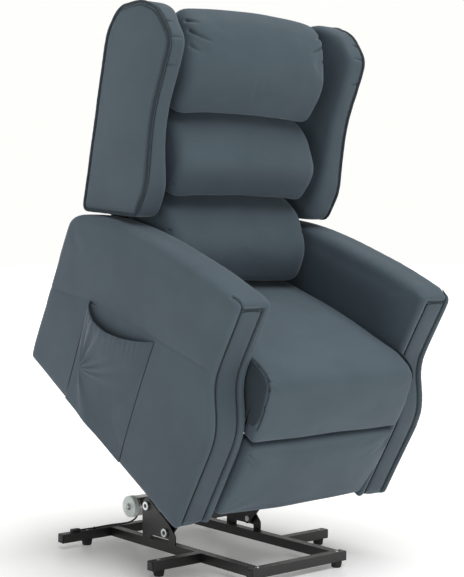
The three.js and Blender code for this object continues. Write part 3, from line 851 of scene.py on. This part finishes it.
def sew_seat():
    obj = soft["seat"]
    uneven(obj, 1.6, 130, 3)
    for name, side in SIDES:
        rim = outline_at(SEAT_OUTLINE, side * (SEAT_HALF - 5), 11)
        seam = part_of(rim, lambda p: p[2] > 292 and (p[1] < 10 or p[2] > 340) and p[1] < 575)
        seam = seam[np.argsort(np.where(seam[:, 1] < 24, seam[:, 2] - 1000, seam[:, 1]))]
        seam = smoothed(laid_on(obj, seam), 5)
        groove(obj, seam, 4.0, 4.0)
        front = part_of(seam, lambda p: p[1] < 60 and p[2] > 380)
        puckers(obj, front, 3, 22, 3.0, (side * 140, 20, 390), seed=31 + side)
        # The dark seam tube paints the shade in the groove as well as the stitching.
        path = laid_on(obj, spaced(seam, 6, closed=False), lift=-0.25 * SEAT_THREAD)
        sewn(f"seat_seam_{name}", tube_mesh(path, SEAT_THREAD, 6), THREAD_AND_SEAM_SHADE)
        # Dark cloth pieces over the seat's sides and the gaps beside them: painted shade where the arms
        # shade the seat.
        for part, outline, ends, edge in (
                ("boxing", BOXING_OUTLINE, (SEAT_HALF - 2, SEAT_HALF + 1.6), 1),
                ("gusset", GUSSET_OUTLINE, (250, ARM_INNER - 1.2), 2)):
            low, high = sorted(side * x for x in ends)
            sewn(f"seat_{part}_{name}", slab(outline, low, high, (edge, edge)), CLOTH_PAINTED_SHADE)


def sew_footrest():
    obj = soft["foot"]
    uneven(obj, 1.6, 120, 8)
    for side in (-1, 1):
        for z, reach in ((228, 44), (212, 30)):
            tuck(obj, (side * 247, -20, z), (-side * 0.75, -0.1, -0.6), reach, 5, 4.0, 4.0)


def sew_arm():
    obj = soft["arm"]
    uneven(obj, 1.0, 150, 14)
    threads = {}
    side_seam = laid_on(obj, spaced([(-ARM_OUTER, y, z) for y, z in ARM_SIDE_SEAM], 8, closed=False))
    groove(obj, side_seam, 3.0, 1.5)
    outer, inner = -ARM_OUTER + ARM_SEAM, -ARM_INNER - ARM_SEAM_INNER
    nose = [(x, 84, 592) for x in np.linspace(-ARM_OUTER + 14, -ARM_INNER - 14, 9)]
    rolls = [[(x, y, z) for y, z in FRONT_CURVE] for x in (-ARM_OUTER + 10, -ARM_INNER - 13)]
    for line, width, height in ((rolls[0], 10, 7), (rolls[1], 11, 7), (nose, 10, 6)):
        groove(obj, laid_on(obj, spaced(line, 8, closed=False)), width, -height)
    relax(obj.data, 2)
    for which, x in (("outer", outer), ("inner", inner)):
        line = [(x, y - 4, z) for y, z in FRONT_CURVE]
        if which == "outer":
            line += [(x - 2, 80, 588), (x - 5, 90, 598), (x - 9, 102, 602), (x - 13, 112, 597)]
        seam = smoothed(laid_on(obj, spaced(line, 7, closed=False)), 3)
        groove(obj, seam, 5.0, 5.0)
        threads[which] = seam
    top = smoothed(laid_on(obj, [(x, 78, 579) for x in np.linspace(outer, inner, 11)]), 2)
    groove(obj, top, 4.0, 4.0)
    threads["top"] = top
    return threads


def sew_wing():
    obj = soft["wing"]
    uneven(obj, 1.4, 120, 17)
    for x, inset, depth in ((-WING_OUTER - 1, 8, 2.6), (-WING_OUTER + 9, 0, 2.6)):
        rim = laid_on(obj, outline_at(WING_OUTLINE, x, inset))
        groove(obj, np.vstack([rim, rim[:1]]), 3.0, depth)
    for y, z, reach in ((770, 1050, 26), (655, 1012, 40), (640, 940, 34), (700, 1032, 22)):
        tuck(obj, (-WING_OUTER + 10, y, z), (1.0, 0.0, 0.0), reach, 5, 3.6, 4.5)


def place_soft():
    sew_pillows()
    sew_seat()
    sew_footrest()
    arm_threads = sew_arm()
    sew_wing()
    uneven(soft["back"], 1.6, 170, 23)
    soft["arm_left"] = mirror_of(soft["arm"], "arm_cover_left")
    soft["wing_left"] = mirror_of(soft["wing"], "wing_cover_left")
    band_seam = smoothed(laid_on(soft["wing"], outline_at(WING_OUTLINE, -WING_OUTER + 10, 0)), 2)
    for side, sign in SIDES:
        # Dark seam tubes: stitching with painted seam shade.
        for which, line in arm_threads.items():
            radius = TOP_THREAD if which == "top" else SIDE_THREAD
            sewn(f"arm_seam_{which}_{side}", tube_mesh(line * (-sign, 1, 1), radius, 6), THREAD_AND_SEAM_SHADE)
        wing = soft["wing" if sign < 0 else "wing_left"]
        sewn(f"wing_seam_{side}", tube_mesh(band_seam * (-sign, 1, 1), BAND_THREAD, 6, closed=True),
             THREAD_AND_SEAM_SHADE, "backrest")
        # The piping is in the darker cloth: painted shade along the wing's rim.
        rim = laid_on(wing, outline_at(WING_OUTLINE, sign * (WING_OUTER + 6), -6, step=7), lift=1.2)
        sewn(f"wing_piping_{side}", tube_mesh(rim, PIPING, 12, closed=True), CLOTH_WELT_PAINTED_SHADE, "backrest")
    stands_for = (
        ("head", "backrest", "pillow_head", 0.75), ("middle", "backrest", "pillow_middle", 0.8),
        ("lumbar", "backrest", "pillow_lumbar", 0.8), ("seat", "seat", "seat_cushion", 0.8),
        ("foot", "footrest", "footrest_pad", 0.8), ("arm", "seat", "arm_right", 0.9),
        ("wing", "backrest", "wing_right", 0.9), ("back", "backrest", "back_panel", 0.6),
        ("arm_left", "seat", "arm_left", 0.9), ("wing_left", "backrest", "wing_left", 0.9),
    )
    for name, body, node, fill in stands_for:
        settle(in_chair(soft[name]), body, [node])


place_soft()


# ---- arm front panels ----
def strip_mesh(curve, x0, x1, depth, puff, across=14, step=8.0):
    """A padded strip along a curve in y and z, crowned outwards across its width."""
    line = spaced(curve, step, closed=False)
    along = np.gradient(line, axis=0)
    along /= np.linalg.norm(along, axis=1)[:, None]
    outward = np.stack([-along[:, 1], along[:, 0]], axis=1)
    bm = bmesh.new()
    rows = []
    for i, (p, n) in enumerate(zip(line, outward)):
        ends = min(i, len(line) - 1 - i) / 3
        fade = min(1.0, ends) ** 0.5 if ends < 1 else 1.0
        row = []
        for k in range(across + 1):
            u = 2 * k / across - 1
            rise = (depth + puff * fade * (1 - abs(u) ** 2.6)) * (1 - 0.75 * abs(u) ** 10)
            q = p + n * rise
            row.append(bm.verts.new((x0 + (x1 - x0) * k / across, *q)))
        for k in reversed(range(across + 1)):
            row.append(bm.verts.new((x0 + (x1 - x0) * k / across, *(p + n * 0.3))))
        rows.append(row)
    skin(bm, rows)
    return mesh_of(bm, "strip")


def add_front_panels():
    for side, sign in SIDES:
        x0, x1 = sorted((sign * (ARM_INNER + ARM_SEAM_INNER + 2), sign * (ARM_OUTER - ARM_SEAM - 2)))
        # The panel's cloth is the darker copy, with painted shade.
        panel = add_object(f"arm_panel_cover_{side}", strip_mesh(FRONT_CURVE, x0, x1, 3.0, 1.6),
                           CLOTH_PANEL_PAINTED_SHADE)
        finer(panel)
        settle(in_chair(panel), "seat", [f"arm_front_panel_{side}"])


add_front_panels()


# ---- side pocket ----
POCKET_MOUTH = traced((583, 287), [(537, 242), (422, 266), (296, 348)], steps=24)
POCKET_FOOT = ((554, -2), (268, -2))
POCKET_X = -ARM_OUTER - 2.0


# folds of the loose cloth: direction and spread in degrees, height in millimetres
POCKET_FOLDS = ((97, 7, 5.0), (78, 5, 7.0), (62, 5.5, 8.5), (47, 6, 7.5), (33, 5, 5.5), (20, 5, 3.5),
                (-52, 14, 5.0))
FOLDS_MEET = (0.09, 0.60)


def pocket_rise(u, v):
    """How far the pocket's cloth stands off the arm: a loose mouth, folds that meet low at the back."""
    bulge = 21 * (4 * u ** 0.8 * (1 - u ** 0.8)) ** 0.7 * math.exp(-((v / 0.36) ** 1.5))
    du, dv = u - FOLDS_MEET[0], FOLDS_MEET[1] - v
    angle = math.degrees(math.atan2(dv, du))
    reach = math.hypot(du, dv)
    folds = 0.0
    for at, width, height in POCKET_FOLDS:
        folds += height * math.exp(-(((angle - at) / width) ** 2))
    folds *= min(1, reach / 0.16) * math.exp(-((reach / 0.72) ** 4))
    folds *= min(1, 9 * u) * min(1, 5 * (1 - u))
    hem = math.exp(-((v / 0.035) ** 2))
    ripple = math.sin(2 * math.pi * 15 * u + 2 * math.sin(9 * u))
    waves = noise.noise(Vector((u * 17, 0.3, 0))) + 0.5 * ripple
    gathers = 1.3 * waves * math.exp(-((v / 0.12) ** 2)) * min(1, 12 * u * (1 - u))
    return max(0.5, 0.8 + bulge + folds * (1 - 0.5 * hem) + gathers)


def add_pocket():
    across, down, thick = 150, 90, 1.4
    mouth = spaced(POCKET_MOUTH, 1.0, closed=False)
    bm = bmesh.new()
    front, rear = [], []
    for j in range(down + 1):
        v = j / down
        for i in range(across + 1):
            u = i / across
            top = mouth[round(u * (len(mouth) - 1))]
            foot = np.array(POCKET_FOOT[0]) * (1 - u) + np.array(POCKET_FOOT[1]) * u
            y, z = top * (1 - v) + foot * v
            rise = pocket_rise(u, v)
            front.append(bm.verts.new((POCKET_X - rise - thick, y, z)))
            rear.append(bm.verts.new((POCKET_X - rise, y, z)))
    wide = across + 1
    for j in range(down):
        for i in range(across):
            a, b = j * wide + i, j * wide + i + 1
            c, d = b + wide, a + wide
            bm.faces.new([front[k] for k in (a, b, c, d)])
            bm.faces.new([rear[k] for k in (d, c, b, a)])
    border = [*range(wide), *(j * wide + across for j in range(1, down + 1)),
              *(down * wide + i for i in reversed(range(across))),
              *(j * wide for j in reversed(range(1, down)))]
    for a, b in zip(border, border[1:] + border[:1]):
        bm.faces.new([front[a], rear[a], rear[b], front[b]])
    pocket = sewn("pocket_cloth", mesh_of(bm, "pocket"), CLOTH_POCKET,
                  replaces=["side_pocket"])
    stations = [(i / 60, mouth[round(i / 60 * (len(mouth) - 1))]) for i in range(61)]
    hem = [(POCKET_X - pocket_rise(u, 0.0) - 1.0, *place) for u, place in stations]
    radii = [1.7 + 0.25 * math.sin(i * 2.1) for i in range(61)]
    elastic = sewn("pocket_hem", tube_mesh(hem, radii, 8), CLOTH_POCKET)
    back, front = mouth[0], mouth[-1]
    chord = [tuple(back * (1 - t) + front * t) for t in np.linspace(0, 1, 25)]
    slit = [Vector(p) for p in chord] + [Vector((y, z - 14)) for y, z in reversed(mouth[12:-12:8])]
    # A near-black sheet inside the pocket's mouth: painted shade of the pocket's inside.
    sewn("pocket_painted_shade_lining", slab(slit, POCKET_X + 0.2, POCKET_X + 1.4, (0.2, 0.2)), CLOTH_LINING_PAINTED_SHADE)
    # Dark seam tubes on the pocket's sides: stitching with painted seam shade.
    for side, top, foot in (("back", back, POCKET_FOOT[0]), ("front", front, POCKET_FOOT[1])):
        line = [(-ARM_OUTER - 10, *(top * (1 - t) + np.array(foot) * t)) for t in np.linspace(0, 0.99, 40)]
        line = laid_on(soft["arm"], [CHAIR @ Vector(p) for p in line], lift=0.0005)
        seam = add_object(f"pocket_seam_{side}", tube_mesh(line, 0.0010, 6), THREAD_AND_SEAM_SHADE)
        settle(seam, "seat")


add_pocket()


# ---- rear skirt ----
def add_rear_skirt():
    outline = rounded([(749, 20, 3), (762, 20, 5), (762, 200, 5), (749, 200, 3)])
    half = ARM_INNER - 2
    skirt = add_object("rear_skirt_cover", slab(outline, -half, half, (4, 4), 0.2, step=5), CLOTH)
    remeshed(skirt, 4.5, 2)
    uneven(skirt, 1.2, 90, 5)
    for z in (34, 186):
        groove(skirt, [(-half, 763, z), (half, 763, z)], 3.0, 1.2)
    settle(in_chair(skirt), "seat", ["rear_skirt"])


add_rear_skirt()


# ---- hardware details ----
def rounded_box(name, low, high, bevel, material):
    bm = bmesh.new()
    bmesh.ops.create_cube(bm, size=1)
    low, high = Vector(low), Vector(high)
    for v in bm.verts:
        v.co = Vector((c + 0.5) * (h - l) + l for c, l, h in zip(v.co, low, high))
    bmesh.ops.bevel(bm, geom=list(bm.edges), offset=bevel, segments=3, profile=0.5, affect="EDGES")
    return add_object(name, mesh_of(bm, name), material)


def turned(name, profile, at, axis, material, sides):
    """A turned part: (radius, height) points, its axis along a direction."""
    bm = bmesh.new()
    rings = []
    for radius, height in profile:
        rings.append([bm.verts.new((radius * math.cos(a), radius * math.sin(a), height))
                      for a in (2 * math.pi * k / sides for k in range(sides))])
    skin(bm, rings)
    mesh = mesh_of(bm, name)
    turn = Vector(axis).to_track_quat("Z", "Y").to_matrix().to_4x4()
    mesh.transform(Matrix.Translation(Vector(at)) @ turn)
    return add_object(name, mesh, material)


def middle(node):
    low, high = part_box(node)
    return Vector(((low.x + high.x) / 2, (low.y + high.y) / 2, (low.z + high.z) / 2))


def outer_x(node, sign):
    low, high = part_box(node)
    return low.x if sign < 0 else high.x


CAP_PROUD, CAP_INSET = 0.0022, 0.0012
SCREW_HEAD = [(0.0052, 0.0), (0.0052, 0.0006), (0.0045, 0.0016), (0.0030, 0.0022), (0.0017, 0.0023),
              (0.0015, 0.0009), (0.0001, 0.0008)]
BOLT_SOCKET = [(0.0062, 0.0), (0.0062, 0.0004), (0.0055, 0.0007), (0.0048, 0.0007), (0.0044, 0.0002),
               (0.0001, 0.0002)]


def add_base_details():
    tube_low, tube_high = (corner.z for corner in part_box("front_bar"))
    half = (tube_high - tube_low) / 2
    for side, sign in SIDES:
        tubes = (("rear", "rear_bar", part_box("rear_bar")[1].y - half),
                 ("front", "front_bar", middle("front_bar").y),
                 ("side", f"base_rail_{side}", middle(f"foot_side_{side}").y))
        for place, node, y in tubes:
            x = outer_x(node, sign)
            x0, x1 = sorted((x, x + sign * CAP_PROUD))
            cap = rounded_box(
                f"tube_cap_{place}_{side}", (x0, y - half + CAP_INSET, tube_low + CAP_INSET),
                (x1, y + half - CAP_INSET, tube_high - CAP_INSET), 0.0009, PLASTIC)
            settle(cap, "base")
            foot = middle(f"foot_{place}_{side}")
            head = turned(f"foot_screw_{place}_{side}", SCREW_HEAD, (foot.x, foot.y, tube_high), (0, 0, 1),
                          ZINC, 18)
            settle(head, "base")
        for which in ("rear", "front"):
            bolt = f"{which}_pivot_bolt_{side}"
            at = middle(bolt)
            at.x = outer_x(bolt, sign)
            socket = turned(f"{which}_pivot_socket_{side}", BOLT_SOCKET, at, (sign, 0, 0), BLACK_STEEL, 6)
            settle(socket, "base")


def add_motor_details():
    centre = middle("motor_end_cap")
    outer = outer_x("motor_end_cap", -1)
    turnings = (
        ("rim", "zinc", ZINC_CAP, 40, 0, [
            (0.0275, 0.0), (0.0275, 0.0006), (0.0262, 0.0014), (0.0235, 0.0014), (0.0225, 0.0004),
            (0.0001, 0.0003)]),
        ("washer", "grey_steel", GREY_STEEL, 28, 0.0003, [
            (0.0095, 0.0), (0.0095, 0.0012), (0.0088, 0.0018), (0.0001, 0.0018)]),
        ("nut", "zinc", ZINC, 6, 0.0020, [
            (0.0062, 0.0), (0.0062, 0.0040), (0.0054, 0.0048), (0.0034, 0.0048), (0.0034, 0.0066),
            (0.0026, 0.0074), (0.0001, 0.0075)]),
    )
    for name, slot, material, sides, out, profile in turnings:
        at = (outer - out, centre.y, centre.z)
        piece = turned(f"motor_cap_{name}", profile, at, (-1, 0, 0), material, sides)
        settle(piece, "lift_motor")
    can_low, can_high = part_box("motor_can")
    for name, x in (("a", can_low.x + 0.006), ("b", can_high.x - 0.008)):
        ring = [(x, centre.y + 0.0291 * math.cos(a), centre.z + 0.0291 * math.sin(a))
                for a in np.linspace(0, 2 * math.pi, 48, endpoint=False)]
        band = add_object(f"motor_can_band_{name}", tube_mesh(ring, 0.0009, 8, closed=True), CAN_STEEL)
        settle(band, "lift_motor")


def add_lead_tie():
    ring = [(-0.205 + 0.0014 * math.sin(a * 2), 0.3770 + 0.0036 * math.cos(a), 0.0455 + 0.0034 * math.sin(a))
            for a in np.linspace(0, 2 * math.pi, 28, endpoint=False)]
    tie = add_object("lead_tie", tube_mesh(ring, 0.0008, 8, closed=True), PLASTIC)
    settle(tie, "base")


add_base_details()
add_motor_details()
add_lead_tie()


CAD_FINISHES = (
    (RUBBER, ("foot_rear", "foot_side", "foot_front")), (ZINC, ("pivot_bolt", "lift_rod")),
    (ZINC_CAP, ("motor_end_cap",)), (CAN_STEEL, ("motor_can",)),
    (PLASTIC, ("motor_gearbox", "lead_connector")),
    # The near-black wood paints the shade in the gaps where the frame shows.
    (DARK_WOOD_PAINTED_GAP_SHADE, ("seat_side_board", "seat_front_rail", "seat_rear_rail", "back_frame")),
    (PLYWOOD, ("board",)), (WIRE, ("spring",)),
    (GREY_STEEL, ("actuator_tube", "back_hinge", "footrest_tab", "footrest_inner", "footrest_outer")),
)


def finish_cad_nodes():
    """Gives every CAD node the first finish that has a word of its name."""
    for name, node in NODES.items():
        matches = (m for m, words in CAD_FINISHES if any(word in name for word in words))
        material = next(matches, BLACK_STEEL)
        for place in node.material_slots:
            place.material = material


finish_cad_nodes()


# ---- floor, background and light ----
def add_floor():
    bm = bmesh.new()
    bmesh.ops.create_grid(bm, x_segments=8, y_segments=8, size=30)
    mesh = mesh_of(bm, "floor", closed=False)
    floor = Finish("floor_white_painted_light", Roughness=0.32, Specular_IOR_Level=0.35,
                   Emission_Color=(1, 1, 0.985, 1))
    floor.colour(floor.ramp(floor.noise(1.5, 2), [(0.3, (0.93, 0.93, 0.92)), (0.7, (0.95, 0.95, 0.94))]))
    # Painted light: the floor glows, least near the chair and more with distance from it, so the far floor
    # reads white while the ground under the chair stays shaded.
    around = floor.node("ShaderNodeVectorMath", operation="LENGTH")
    floor.links.new(floor.place, around.inputs[0])
    floor.links.new(floor.span(around.outputs["Value"], 0.21, 0.50, 0.40, 1.3),
                    floor.shader.inputs["Emission Strength"])
    obj = add_object("studio_floor", mesh, floor.material)
    obj.location.z = -0.0004


def add_world():
    world = bpy.data.worlds.new("studio")
    scene.world = world
    world.use_nodes = True
    nodes, links = world.node_tree.nodes, world.node_tree.links
    seen = nodes["Background"]
    seen.inputs["Color"].default_value = (0.992, 0.992, 0.968, 1)
    seen.inputs["Strength"].default_value = 1.0
    lit = new_node(nodes, "ShaderNodeBackground", Color=(0.96, 0.98, 1.0, 1), Strength=0.035)
    mix = nodes.new("ShaderNodeMixShader")
    ray = nodes.new("ShaderNodeLightPath")
    share = new_node(nodes, "ShaderNodeMath", operation="MULTIPLY_ADD")
    share.inputs[1].default_value = 0.5
    links.new(ray.outputs["Is Glossy Ray"], share.inputs[0])
    links.new(ray.outputs["Is Camera Ray"], share.inputs[2])
    links.new(share.outputs[0], mix.inputs["Fac"])
    links.new(lit.outputs[0], mix.inputs[1])
    links.new(seen.outputs[0], mix.inputs[2])
    links.new(mix.outputs[0], nodes["World Output"].inputs["Surface"])


def add_sun(name, towards, strength, angle):
    data = bpy.data.lights.new(name, "SUN")
    data.energy = strength
    data.angle = math.radians(angle)
    sun = bpy.data.objects.new(name, data)
    sun.rotation_euler = (-Vector(towards)).to_track_quat("-Z", "Y").to_euler()
    scene.collection.objects.link(sun)


add_floor()
add_world()
add_sun("overhead", (0.05, -0.35, 1.0), 3.05, 56)
add_sun("front", (-0.10, -1.0, 0.05), 0.14, 50)
add_sun("left", (-1.0, -0.06, -0.06), 0.74, 30)
scene.view_settings.view_transform = "Standard"
scene.view_settings.look = "None"
